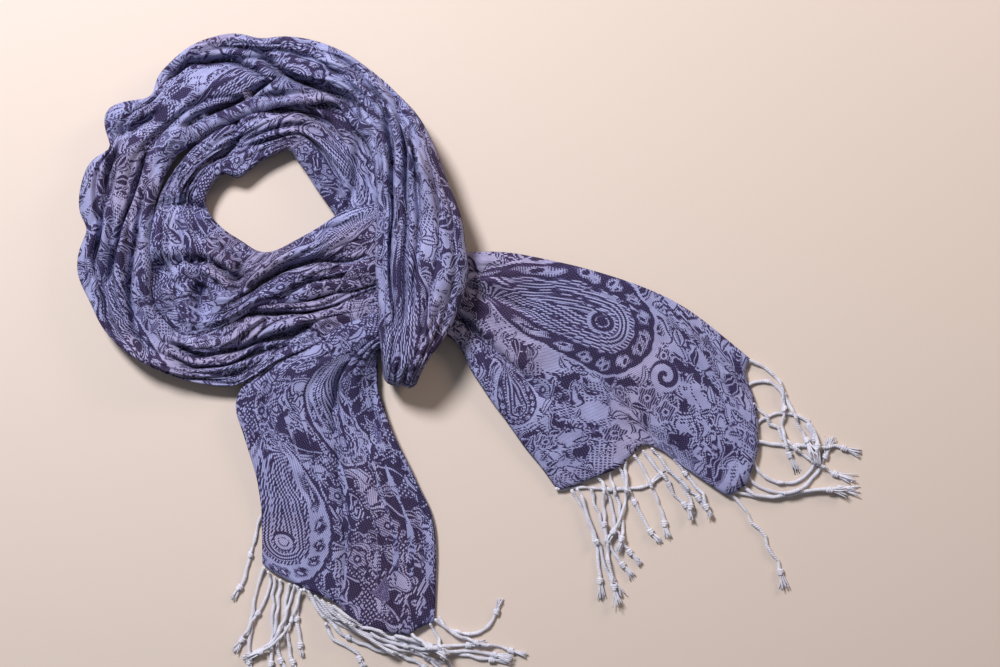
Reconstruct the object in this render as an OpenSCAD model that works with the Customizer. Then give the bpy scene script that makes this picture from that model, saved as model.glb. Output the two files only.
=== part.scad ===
// A long woven scarf with knotted fringe, tied in a slip knot and laid flat.
// The one panel is gathered into a soft rope, doubled round a neck opening, and
// its two ends come out of the knot as spread tails. All sizes are in millimetres.

/* [Panel] */
// Thickness of the spread tails where they lie on the surface
tail_thick = 8; // [6:1:12]
// How full the gathered rope is, as a share of its height
rope_fullness = 1; // [0.8:0.05:1]
// Roundness of the rope's edges: higher is squarer
edge_power = 3; // [2:0.5:5]

/* [Fringe] */
// Radius of a twisted fringe cord
cord_r = 1.4; // [1:0.1:2]
// Radius of the knot near a cord's end
knot_r = 2.8; // [2:0.1:4]
// Radius of the brushed-out tuft below the knot
tuft_r = 2; // [1:0.1:3]
// Height between cords that cross one another
cord_step = 3; // [2.6:0.1:4]

/* [Colours] */
// Ground of the jacquard on the tails
tail_color = "slategray"; // [slategray, dimgray, gray]
// Outer wraps of the ring
wrap_color = "dimgray"; // [slategray, dimgray, gray]
// Inner wraps, where the dark side shows
inner_color = "darkslategray"; // [darkslategray, dimgray]
// Fringe cords
fringe_color = "gainsboro"; // [gainsboro, lightgray, white]

/* [Hidden] */
// Places along the rope, from the right tail's hem to the lower tail's hem. Each one
// gives the two edges and the height: [edge_a x, edge_a y, edge_b x, edge_b y, low z, high z]
places = [
    // right tail, from the hem in to the knot
    [56, -78, 210, 6, 0, 5],
    [36, -54, 164, 42, 0, 6],
    [20, -32, 122, 62, 0, 8],
    [4, -10, 72, 76, 0, 11],
    // one layer of the knot, through the loop of cloth
    [-8, 12, 30, 84, 0, 15],
    [-20, 24, -4, 84, 4, 16],
    [-40, 30, -32, 80, 9, 18],
    [-58, 32, -56, 76, 9, 18],
    // lower band, along the foot of the ring
    [-80, 30, -88, 62, 6, 18],
    [-106, 28, -114, 48, 2, 22],
    [-138, 12, -154, 44, 0, 24],
    [-178, -14, -188, 26, 0, 25],
    // outer wrap, up the left of the ring
    [-232, -4, -218, 22, 0, 26],
    [-270, 30, -238, 52, 0, 26],
    [-288, 70, -238, 90, 0, 26],
    [-286, 120, -236, 124, 0, 26],
    [-272, 168, -224, 150, 0, 26],
    // outer wrap, over the top
    [-240, 204, -202, 170, 0, 27],
    [-206, 234, -176, 184, 0, 28],
    [-168, 246, -154, 192, 0, 30],
    [-124, 240, -128, 198, 2, 34],
    [-88, 228, -104, 198, 8, 38],
    // the wrap that covers the knot, going down
    [-58, 204, -86, 186, 14, 42],
    [-34, 174, -72, 162, 21, 46],
    [-16, 134, -68, 132, 30, 50],
    [-4, 96, -68, 98, 32, 50],
    [-4, 60, -68, 60, 32, 50],
    [-16, 26, -66, 30, 32, 50],
    // fold at the closed end of the loop, from top to underside
    [-32, 6, -64, 6, 24, 44],
    [-38, -6, -64, -6, 10, 26],
    [-36, 4, -66, 6, 0, 10],
    // inner wrap, up the right of the opening on the floor
    [-32, 34, -66, 32, 0, 7],
    [-32, 64, -76, 60, 0, 7],
    [-38, 96, -92, 96, 0, 12],
    [-50, 132, -114, 130, 0, 16],
    [-76, 168, -128, 150, 0, 18],
    // inner wrap, round the top and down the left
    [-108, 190, -136, 160, 0, 20],
    [-138, 192, -150, 154, 0, 22],
    [-168, 180, -170, 146, 0, 23],
    [-196, 162, -186, 142, 0, 24],
    [-218, 138, -196, 126, 0, 24],
    [-232, 108, -196, 114, 0, 24],
    // tight turn and the upper band across the foot
    [-236, 78, -182, 100, 0, 25],
    [-232, 46, -168, 90, 0, 26],
    [-212, 24, -156, 84, 1, 27],
    [-184, 30, -146, 84, 2, 28],
    [-154, 48, -130, 92, 4, 29],
    [-120, 52, -112, 102, 10, 30],
    [-88, 58, -90, 116, 16, 28],
    // upper layer of the knot, turning down
    [-64, 62, -58, 120, 19, 28],
    [-54, 60, -32, 114, 20, 29],
    [-52, 54, -16, 86, 20, 29],
    [-54, 48, -18, 52, 20, 29],
    [-66, 40, -36, 30, 19, 28],
    [-88, 30, -64, 12, 12, 24],
    // lower tail, out to its hem
    [-124, 14, -68, 0, 2, 20],
    [-160, -6, -68, -14, 0, 18],
    [-174, -28, -64, -28, 0, 14],
    [-168, -54, -54, -52, 0, 11],
    [-160, -84, -38, -82, 0, 9],
    [-156, -114, -24, -116, 0, 7],
    [-156, -148, -22, -176, 0, 5]
];

// Corners of each hem between its two edges, edge b first on the right tail and
// edge a first on the lower tail
right_hem = [[204, -6], [214, -28], [216, -62], [208, -88], [194, -98], [166, -80], [142, -62],
    [130, -58], [112, -76], [92, -84], [66, -94]];
lower_hem = [[-148, -154], [-128, -164], [-98, -178], [-90, -190], [-76, -198], [-46, -201],
    [-34, -194], [-26, -192]];

// Fringe cords, as they lie: [start x, start y, heading, turn over the first half,
// turn over the second half, length], in millimetres and degrees
right_fringe = [
    [64, -93, 8, -14, 40, 84],
    [76, -93, -58, -18, -12, 84],
    [80, -92, -70, 2, 0, 86],
    [90, -91, -74, 4, 26, 74],
    [95, -82, -58, -22, 46, 74],
    [100, -92, -90, 6, 12, 86],
    [104, -79, -66, -14, -22, 60],
    [110, -74, -62, -6, 20, 66],
    [116, -71, -82, -18, -26, 62],
    [123, -67, -60, -4, -22, 66],
    [129, -64, -48, -8, 14, 60],
    [136, -62, -52, 4, -44, 60],
    [142, -68, -60, 20, -8, 50],
    [152, -70, -46, -8, -22, 50],
    [194, -96, -46, -12, -14, 82],
    [197, -93, -22, 34, -10, 94],
    [202, -88, -46, 66, -34, 82],
    [206, -80, -60, 86, 70, 92],
    [211, -68, -78, 108, 118, 96],
    [212, -56, -14, 14, -6, 80],
    [208, -53, 64, -78, -112, 84],
    [212, -28, -54, 14, 22, 96],
    [204, -18, 42, -112, 12, 84],
    [209, 4, -12, -86, 44, 98]
];
lower_fringe = [
    [-157, -112, -104, 2, -22, 66],
    [-154, -151, -114, 18, 14, 84],
    [-151, -154, -84, -40, 10, 66],
    [-146, -158, -96, 6, -6, 76],
    [-141, -160, -104, 14, 22, 72],
    [-135, -163, -106, 22, 16, 70],
    [-131, -164, -98, -20, -46, 70],
    [-128, -165, -96, 8, 10, 52],
    [-126, -167, -100, -24, -40, 68],
    [-124, -166, -60, 32, 26, 88],
    [-121, -169, -68, 36, 26, 86],
    [-116, -172, -58, 44, -6, 88],
    [-111, -175, -50, 26, 18, 90],
    [-106, -177, -52, 44, -22, 86],
    [-102, -179, -42, 24, 10, 92],
    [-97, -184, -56, 40, -4, 88],
    [-108, -193, -76, 50, -40, 44],
    [-90, -191, -46, 22, -12, 78],
    [-74, -199, -34, 36, 2, 88],
    [-56, -201, -16, -4, 26, 88],
    [-44, -200, -44, 46, -24, 78],
    [-30, -193, -66, 2, 30, 60],
    [-26, -190, -52, 66, 84, 66],
    [-23, -188, -58, 48, -10, 72]
];

// Moves the middle of the whole scarf to the origin
centre = [-1.4, -0.9, 0];

// Gathered stretches of the panel, in order along it
stretch_names = ["tail_strand", "lower_cross_band", "outer_left_wrap", "top_wrap", "over_wrap",
    "bight_turn", "inner_right_wrap", "inner_left_wrap", "upper_cross_band", "crossing_strand"];
first_tail_place = 4;
last_tail_place = 57;

// Cord names run clockwise along each hem
function cord_name(side, i) = str(side, "_tassel_", i < 9 ? "0" : "", i + 1);
right_names = [for (i = [0 : len(right_fringe) - 1]) cord_name("right", i)];
lower_names = [for (i = [0 : len(lower_fringe) - 1]) cord_name("lower", i)];

steps_per_place = 2;
section_points = 14;
cord_rings = 10;
cord_sides = 6;

// Smooth curve through the places: value at a place number that may be a fraction
function held(i) = places[max(0, min(len(places) - 1, i))];
function smooth(a, b, c, d, t) =
    0.5 * (2 * b + (c - a) * t + (2 * a - 5 * b + 4 * c - d) * t * t
        + (3 * b - a - 3 * c + d) * t * t * t);
function place_at(s) =
    let (i = floor(s))
    smooth(held(i - 1), held(i), held(i + 1), held(i + 2), s - i);

// Middle of the rope, the vector across it, and the direction its top faces
function middle(p) = [(p[0] + p[2]) / 2, (p[1] + p[3]) / 2, (p[4] + p[5]) / 2];
function across(p) = [p[2] - p[0], p[3] - p[1], 0];
function unit(v) = v / norm(v);
function facing(s) =
    let (d = 0.05)
    unit(cross(across(place_at(s)), middle(place_at(s + d)) - middle(place_at(s - d))));

// One closed section of the rope: flat in the middle and round at both edges
function bulge(u) = sqrt(max(0, 1 - pow(abs(2 * u - 1), edge_power)));
function section(s) =
    let (
        p = place_at(s),
        m = middle(p),
        w = across(p),
        f = facing(s),
        h = (p[5] - p[4]) / 2 * rope_fullness
    )
    [for (k = [0 : section_points - 1])
        let (
            turn = 360 * k / section_points,
            u = 0.5 - 0.5 * cos(turn),
            v = m + w * (u - 0.5) + f * h * bulge(u) * sign(round(sin(turn) * 1000))
        )
        [v[0], v[1], max(0, v[2])]];

// Closed skin over rings that each have n points, as triangles
function skin_faces(rings, n) = concat(
    [for (r = [0 : rings - 2]) for (k = [0 : n - 1])
        each [
            [r * n + k, r * n + (k + 1) % n, (r + 1) * n + k],
            [r * n + (k + 1) % n, (r + 1) * n + (k + 1) % n, (r + 1) * n + k]
        ]],
    [for (k = [0 : n - 1])
        each [
            [rings * n, (k + 1) % n, k],
            [rings * n + 1, (rings - 1) * n + k, (rings - 1) * n + (k + 1) % n]
        ]]
);
function mean(points) = [for (a = [0 : 2]) [for (p = points) p[a]] * [for (p = points) 1] / len(points)];
module skin(rings) {
    n = len(rings[0]);
    points = concat([for (r = rings) each r], [mean(rings[0]), mean(rings[len(rings) - 1])]);
    polyhedron(points, skin_faces(len(rings), n), convexity = 6);
}

// One gathered stretch of the panel, between two places
module rope(first, last) {
    skin([for (i = [0 : (last - first) * steps_per_place]) section(first + i / steps_per_place)]);
}

// Points along one edge of a spread tail, edge a or edge b
function edge_points(first, last, side) =
    [for (i = [0 : abs(last - first) * 2])
        let (p = place_at(first + sign(last - first) * i / 2))
        [p[2 * side], p[2 * side + 1]]];

module right_tail() {
    color(tail_color)
        linear_extrude(tail_thick)
            polygon(concat(edge_points(0, first_tail_place, 0),
                edge_points(first_tail_place, 0, 1), right_hem));
}

module lower_tail() {
    color(tail_color)
        linear_extrude(tail_thick)
            polygon(concat(edge_points(len(places) - 1, last_tail_place, 0),
                edge_points(last_tail_place, len(places) - 1, 1),
                [for (i = [len(lower_hem) - 1 : -1 : 0]) lower_hem[i]]));
}

// A fringe cord: two arcs of steady turn, with a knot near the end and a tuft past it
function heading(c, t) = c[2] + c[3] * min(2 * t, 1) + c[4] * max(2 * t - 1, 0);
function cord_point(c, t, n = 24) =
    let (
        angles = [for (i = [0 : n - 1]) heading(c, t * (i + 0.5) / n)],
        one = [for (a = angles) 1],
        step = t * c[5] / n
    )
    [c[0] + [for (a = angles) cos(a)] * one * step, c[1] + [for (a = angles) sin(a)] * one * step];
knot_at = 0.86;
function cord_radius(t) = t < knot_at - 0.05 ? cord_r : t < knot_at + 0.02 ? knot_r : tuft_r;
cord_stations = concat([for (i = [0 : cord_rings - 4]) i / (cord_rings - 4) * (knot_at - 0.06)],
    [knot_at - 0.02, knot_at + 0.01, knot_at + 0.04, 1]);
module tassel(c, level) {
    rings = [for (t = cord_stations)
        let (
            p = cord_point(c, t),
            a = heading(c, t),
            r = cord_radius(t),
            z = r + level * cord_step * sin(180 * t)
        )
        [for (k = [0 : cord_sides - 1])
            let (b = 360 * k / cord_sides)
            [p[0] - sin(a) * r * cos(b), p[1] + cos(a) * r * cos(b), z + r * sin(b)]]];
    color(fringe_color) skin(rings);
}

// Right tail's strand, drawn through the loop of cloth
module tail_strand() { color(wrap_color) rope(4, 8); }
// Lower band across the foot of the ring
module lower_cross_band() { color(wrap_color) rope(8, 12); }
// Outer wrap, up the left side
module outer_left_wrap() { color(wrap_color) rope(12, 17); }
// Outer wrap, over the top
module top_wrap() { color(wrap_color) rope(17, 22); }
// Wrap that lies over the knot
module over_wrap() { color(wrap_color) rope(22, 28); }
// Closed end of the loop, where the cloth folds under
module bight_turn() { color(wrap_color) rope(28, 31); }
// Inner wrap, up the right of the opening
module inner_right_wrap() { color(inner_color) rope(31, 36); }
// Inner wrap, round the top and down the left
module inner_left_wrap() { color(inner_color) rope(36, 42); }
// Tight turn and the upper band across the foot
module upper_cross_band() { color(inner_color) rope(42, 49); }
// Upper strand in the knot, out to the lower tail
module crossing_strand() { color(inner_color) rope(49, 57); }

translate(centre) {
    right_tail();
    lower_tail();
    tail_strand();
    lower_cross_band();
    outer_left_wrap();
    top_wrap();
    over_wrap();
    bight_turn();
    inner_right_wrap();
    inner_left_wrap();
    upper_cross_band();
    crossing_strand();
    for (i = [0 : len(right_fringe) - 1])
        tassel(right_fringe[i], i % 3);
    for (i = [0 : len(lower_fringe) - 1])
        tassel(lower_fringe[i], i % 3);
}
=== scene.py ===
import math

import bpy
import numpy as np
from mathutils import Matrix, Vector


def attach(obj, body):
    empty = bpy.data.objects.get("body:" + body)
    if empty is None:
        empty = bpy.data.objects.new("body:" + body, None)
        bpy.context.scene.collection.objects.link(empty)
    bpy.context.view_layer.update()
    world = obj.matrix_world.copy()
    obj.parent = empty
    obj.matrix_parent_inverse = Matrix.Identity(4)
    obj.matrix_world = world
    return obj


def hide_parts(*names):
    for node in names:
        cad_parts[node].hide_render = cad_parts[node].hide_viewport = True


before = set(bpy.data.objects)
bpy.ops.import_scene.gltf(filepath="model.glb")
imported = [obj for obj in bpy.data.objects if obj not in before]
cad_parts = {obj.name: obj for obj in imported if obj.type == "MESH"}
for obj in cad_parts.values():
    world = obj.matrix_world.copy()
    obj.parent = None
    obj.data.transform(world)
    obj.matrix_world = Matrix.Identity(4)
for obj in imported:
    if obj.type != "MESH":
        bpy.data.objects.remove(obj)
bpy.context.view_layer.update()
mm = 0.001

# ---- Camera, light and floor ------------------------------------------------------------------
# The scarf lies flat and is looked at from straight above. A soft box hangs over its upper left, a
# weak warm one fills from the right, and the floor is a plain pale sheet.
view_centre = Vector((0.021, 0.023, 0))
view_width = 0.750
view_height = 1.30
camera_data = bpy.data.cameras.new("camera")
camera_data.sensor_width = 36
camera_data.lens = camera_data.sensor_width * view_height / view_width
camera = bpy.data.objects.new("camera", camera_data)
camera.location = view_centre + Vector((0, 0, view_height))
bpy.context.collection.objects.link(camera)
bpy.context.scene.camera = camera
bpy.context.scene.view_settings.view_transform = "Standard"


def soft_box(name, place, size, watts, tint):
    data = bpy.data.lights.new(name, "AREA")
    data.shape = "DISK"
    data.size = size
    data.energy = watts
    data.color = tint
    lamp = bpy.data.objects.new(name, data)
    lamp.location = place
    lamp.rotation_euler = (view_centre - Vector(place)).to_track_quat("-Z", "Y").to_euler()
    bpy.context.collection.objects.link(lamp)


soft_box("key", (-0.65, 1.0, 1.3), size=0.45, watts=42, tint=(0.95, 0.97, 1.0))
soft_box("warm_side", (1.2, 1.0, 0.7), size=0.6, watts=9, tint=(1.0, 0.80, 0.62))
world = bpy.data.worlds.new("room")
world.use_nodes = True
world.node_tree.nodes["Background"].inputs["Color"].default_value = (0.92, 0.95, 1.0, 1)
world.node_tree.nodes["Background"].inputs["Strength"].default_value = 0.17
bpy.context.scene.world = world

floor_mesh = bpy.data.meshes.new("floor")
floor_half = 6.0
floor_drop = 0.0002
floor_mesh.from_pydata(
    [(x * floor_half, y * floor_half, -floor_drop) for x, y in ((-1, -1), (1, -1), (1, 1), (-1, 1))],
    [],
    [(0, 1, 2, 3)],
)
floor = bpy.data.objects.new("floor", floor_mesh)
floor_paint = bpy.data.materials.new("floor_paint")
floor_paint.use_nodes = True
floor_paint.node_tree.nodes["Principled BSDF"].inputs["Base Color"].default_value = (0.62, 0.515, 0.455, 1)
floor_paint.node_tree.nodes["Principled BSDF"].inputs["Roughness"].default_value = 0.8
floor_mesh.materials.append(floor_paint)
bpy.context.collection.objects.link(floor)

# ---- Woven panel --------------------------------------------------------------------------------
# One length of two-tone jacquard, 0.68 x 1.90 m, folded lengthwise into five loose layers, gathered
# into a soft rope, doubled, tied in a slip knot and laid down with both ends spread. It is woven,
# not printed, so its reverse shows the same figures with the two tones changed over.
cloth_thickness = 0.7 * mm

# Places along the rope: edge a x, y, edge b x, y, low z, high z, in millimetres
rope_places = [
    # right tail, from its hem in to the knot
    (56, -78, 210, 6, 0, 5), (36, -54, 164, 42, 0, 6), (20, -32, 122, 62, 0, 8),
    (4, -10, 72, 76, 0, 11),
    # its strand under the knot
    (-8, 12, 30, 84, 0, 15), (-20, 24, -4, 84, 4, 16), (-40, 30, -32, 80, 9, 18),
    (-58, 32, -56, 76, 9, 18),
    # lower band across the foot of the ring
    (-80, 30, -88, 62, 6, 18), (-106, 28, -114, 48, 2, 22), (-138, 12, -154, 44, 0, 24),
    (-178, -14, -188, 26, 0, 25),
    # outer wrap up the left and over the top
    (-232, -4, -218, 22, 0, 26), (-270, 30, -238, 52, 0, 26), (-288, 70, -238, 90, 0, 26),
    (-286, 120, -236, 124, 0, 26), (-272, 168, -224, 150, 0, 26), (-240, 204, -202, 170, 0, 27),
    (-206, 234, -176, 184, 0, 28), (-168, 246, -154, 192, 0, 30), (-124, 240, -128, 198, 2, 34),
    (-88, 228, -104, 198, 8, 38),
    # over wrap, on top of the knot
    (-58, 204, -86, 186, 14, 42), (-34, 174, -72, 162, 21, 46), (-16, 134, -68, 132, 30, 50),
    (-4, 96, -68, 98, 32, 50), (-4, 60, -68, 60, 32, 50), (-16, 26, -66, 30, 32, 50),
    # closed end of the loop, folding under
    (-32, 6, -64, 6, 24, 44), (-38, -6, -64, -6, 10, 26), (-36, 4, -66, 6, 0, 10),
    # inner wrap round the opening
    (-32, 34, -66, 32, 0, 7), (-32, 64, -76, 60, 0, 7), (-38, 96, -92, 96, 0, 12),
    (-50, 132, -114, 130, 0, 16), (-76, 168, -128, 150, 0, 18), (-108, 190, -136, 160, 0, 20),
    (-138, 192, -150, 154, 0, 22), (-168, 180, -170, 146, 0, 23), (-196, 162, -186, 142, 0, 24),
    (-218, 138, -196, 126, 0, 24), (-232, 108, -196, 114, 0, 24),
    # tight turn and upper band across the foot
    (-236, 78, -182, 100, 0, 25), (-232, 46, -168, 90, 0, 26), (-212, 24, -156, 84, 1, 27),
    (-184, 30, -146, 84, 2, 28), (-154, 48, -130, 92, 4, 29), (-120, 52, -112, 102, 10, 30),
    (-88, 58, -90, 116, 16, 28),
    # upper strand in the knot, turning down
    (-64, 62, -58, 120, 19, 28), (-54, 60, -32, 114, 20, 29), (-52, 54, -16, 86, 20, 29),
    (-54, 48, -18, 52, 20, 29), (-66, 40, -36, 30, 19, 28), (-88, 30, -64, 12, 12, 24),
    # lower tail, out to its hem
    (-124, 14, -68, 0, 2, 20), (-160, -6, -68, -14, 0, 18), (-174, -28, -64, -28, 0, 14),
    (-168, -54, -54, -52, 0, 11), (-160, -84, -38, -82, 0, 9), (-156, -114, -24, -116, 0, 7),
    (-156, -148, -22, -176, 0, 5),
]
# Corners of the two hems between the edges
right_hem = [
    (204, -6), (214, -28), (216, -62), (208, -88), (194, -98), (166, -80), (142, -62), (130, -58),
    (112, -76), (92, -84), (66, -94),
]
lower_hem = [
    (-148, -154), (-128, -164), (-98, -178), (-90, -190), (-76, -198), (-46, -201), (-34, -194),
    (-26, -192),
]
# Moves the middle of the whole scarf to the origin
laid_shift = np.array((-1.4, -0.9, 0)) * mm

places = np.array(rope_places, float) * mm
places[:, [0, 2]] += laid_shift[0]
places[:, [1, 3]] += laid_shift[1]
last_place = len(places) - 1
# Here, at the closed end of the loop, the cloth turns its other side up
turn_place = 29.5


def along_rope(table, s):
    """Smooth value of a table of places at place numbers s, which may be fractions."""
    i = np.clip(np.floor(s).astype(int), 0, last_place - 1)
    t = (s - i)[:, None]
    a, b, c, d = (table[np.clip(i + k, 0, last_place)] for k in (-1, 0, 1, 2))
    return 0.5 * (2 * b + (c - a) * t + (2 * a - 5 * b + 4 * c - d) * t**2 + (3 * b - a - 3 * c + d) * t**3)


def middle_line(p):
    return np.stack([(p[:, 0] + p[:, 2]) / 2, (p[:, 1] + p[:, 3]) / 2, (p[:, 4] + p[:, 5]) / 2], 1)


row_gap = 3.3 * mm
fine_steps = 6000
fine_s = np.linspace(0, last_place, fine_steps)
fine_middle = middle_line(along_rope(places, fine_s))
fine_length = np.concatenate([[0], np.cumsum(np.linalg.norm(np.diff(fine_middle, axis=0), axis=1))])
row_count = int(fine_length[-1] / row_gap) + 1
row_length = np.linspace(0, fine_length[-1], row_count)
row_s = np.interp(row_length, fine_length, fine_s)
row_place = along_rope(places, row_s)
# The spread tails stand a little higher in their middles than at the hems and the knot
tail_lift = 3.5 * mm
row_place[:, 5] += tail_lift * np.interp(row_s, [0, 3, 4.5, 56, 58, 61], [0.0, 1, 0, 0, 1, 0.0])
row_fold_room = row_place[:, 5] - row_place[:, 4]
# Where the rope climbs over the knot, its underside sags into what lies below: place, mm
sag = np.array([
    (19.5, 0), (20, 2), (21, 8), (22, 13), (23, 19), (24, 24), (25, 22), (27, 22), (28, 16), (29, 4),
    (30, 0), (44.5, 0), (46, 4), (47, 10), (48, 14), (49, 14), (50, 12), (52, 12), (54, 9), (55, 7),
    (56, 2), (56.5, 0),
], float)
row_place[:, 4] -= np.interp(row_s, sag[:, 0], sag[:, 1]) * mm
row_middle = middle_line(row_place)
row_across = np.stack([row_place[:, 2] - row_place[:, 0], row_place[:, 3] - row_place[:, 1], 0 * row_s], 1)
row_band = np.linalg.norm(row_across, axis=1)
row_ahead = np.gradient(row_middle, axis=0)
row_ahead /= np.linalg.norm(row_ahead, axis=1)[:, None]
row_facing = np.cross(row_across, row_ahead)
row_facing /= np.linalg.norm(row_facing, axis=1)[:, None]
row_height = row_place[:, 5] - row_place[:, 4]

# Columns across the cloth: the bottom layer, three gathered ones inside, and the top layer
outer_columns = 72
inner_columns = 22
inner_levels = (0.27, 0.5, 0.73)


def layer_spread(count):
    """Even spread across the band, a little closer together where the cloth folds back."""
    t = (np.arange(count) + 0.5) / count
    return 0.75 * t + 0.25 * (0.5 - 0.5 * np.cos(math.pi * t))


outer_spread, inner_spread = layer_spread(outer_columns), layer_spread(inner_columns)
column_u = np.concatenate([outer_spread, 1 - inner_spread, inner_spread, 1 - inner_spread, outer_spread])
column_level = np.repeat((0, *inner_levels, 1), (outer_columns, *[inner_columns] * 3, outer_columns))
u, s = np.meshgrid(column_u, row_s)
length = np.meshgrid(column_u, row_length)[1]
level = np.meshgrid(column_level, row_s)[0]


def rumple(seed, across, along):
    """Smooth random waves over the cloth, -1 to 1, one wave per two units."""
    cells_across, cells_along = 64, 512
    lattice = np.random.default_rng(seed).uniform(-1, 1, (cells_across, cells_along))
    i, j = np.floor(across).astype(int), np.floor(along).astype(int)
    a, b = across - i, along - j
    a, b = a * a * (3 - 2 * a), b * b * (3 - 2 * b)
    next_i, next_j = (i + 1) % cells_across, (j + 1) % cells_along
    i, j = i % cells_across, j % cells_along
    near = lattice[i, j] * (1 - b) + lattice[i, next_j] * b
    far = lattice[next_i, j] * (1 - b) + lattice[next_i, next_j] * b
    return near * (1 - a) + far * a


def gathers(seed, count, long):
    """Creases that run along the rope, branch and die out: 0 in a crease, 1 on the crests between."""
    across = count * u + 0.9 * rumple(seed + 1, 1.6 * u, length / 0.10)
    return np.clip(np.abs(rumple(seed, across, length / long)) / 0.5, 0, 1) ** 0.6


# Depth of the broad folds and of the fine gathers at places along the rope: place, mm, mm
fold_depths = np.array([
    (0, 1.6, 0.6), (2, 2.4, 0.9), (3, 4, 1.5), (4, 7, 2.5), (6, 5, 3), (9, 8, 4), (12, 11, 4),
    (15, 12, 4), (18, 12, 4), (20, 11, 5), (22, 10, 6), (24, 8, 8), (27, 8, 8), (29, 2, 1),
    (31, 2.5, 1.5), (33, 6, 3), (35, 10, 4), (38, 11, 4), (41, 11, 5), (43, 9, 5), (45, 10, 5),
    (47, 9, 5), (49, 4, 2), (53, 4, 2), (54, 7, 4), (55, 8, 5), (56, 7, 4), (57, 5, 2.5),
    (59, 3, 1.4), (61, 1.8, 0.6),
], float)
broad_depth = np.interp(s, fold_depths[:, 0], fold_depths[:, 1]) * mm
fine_depth = np.interp(s, fold_depths[:, 0], fold_depths[:, 2]) * mm
broad = gathers(seed=11, count=4.6, long=0.16)
fine = gathers(seed=23, count=12.0, long=0.10)

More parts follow.
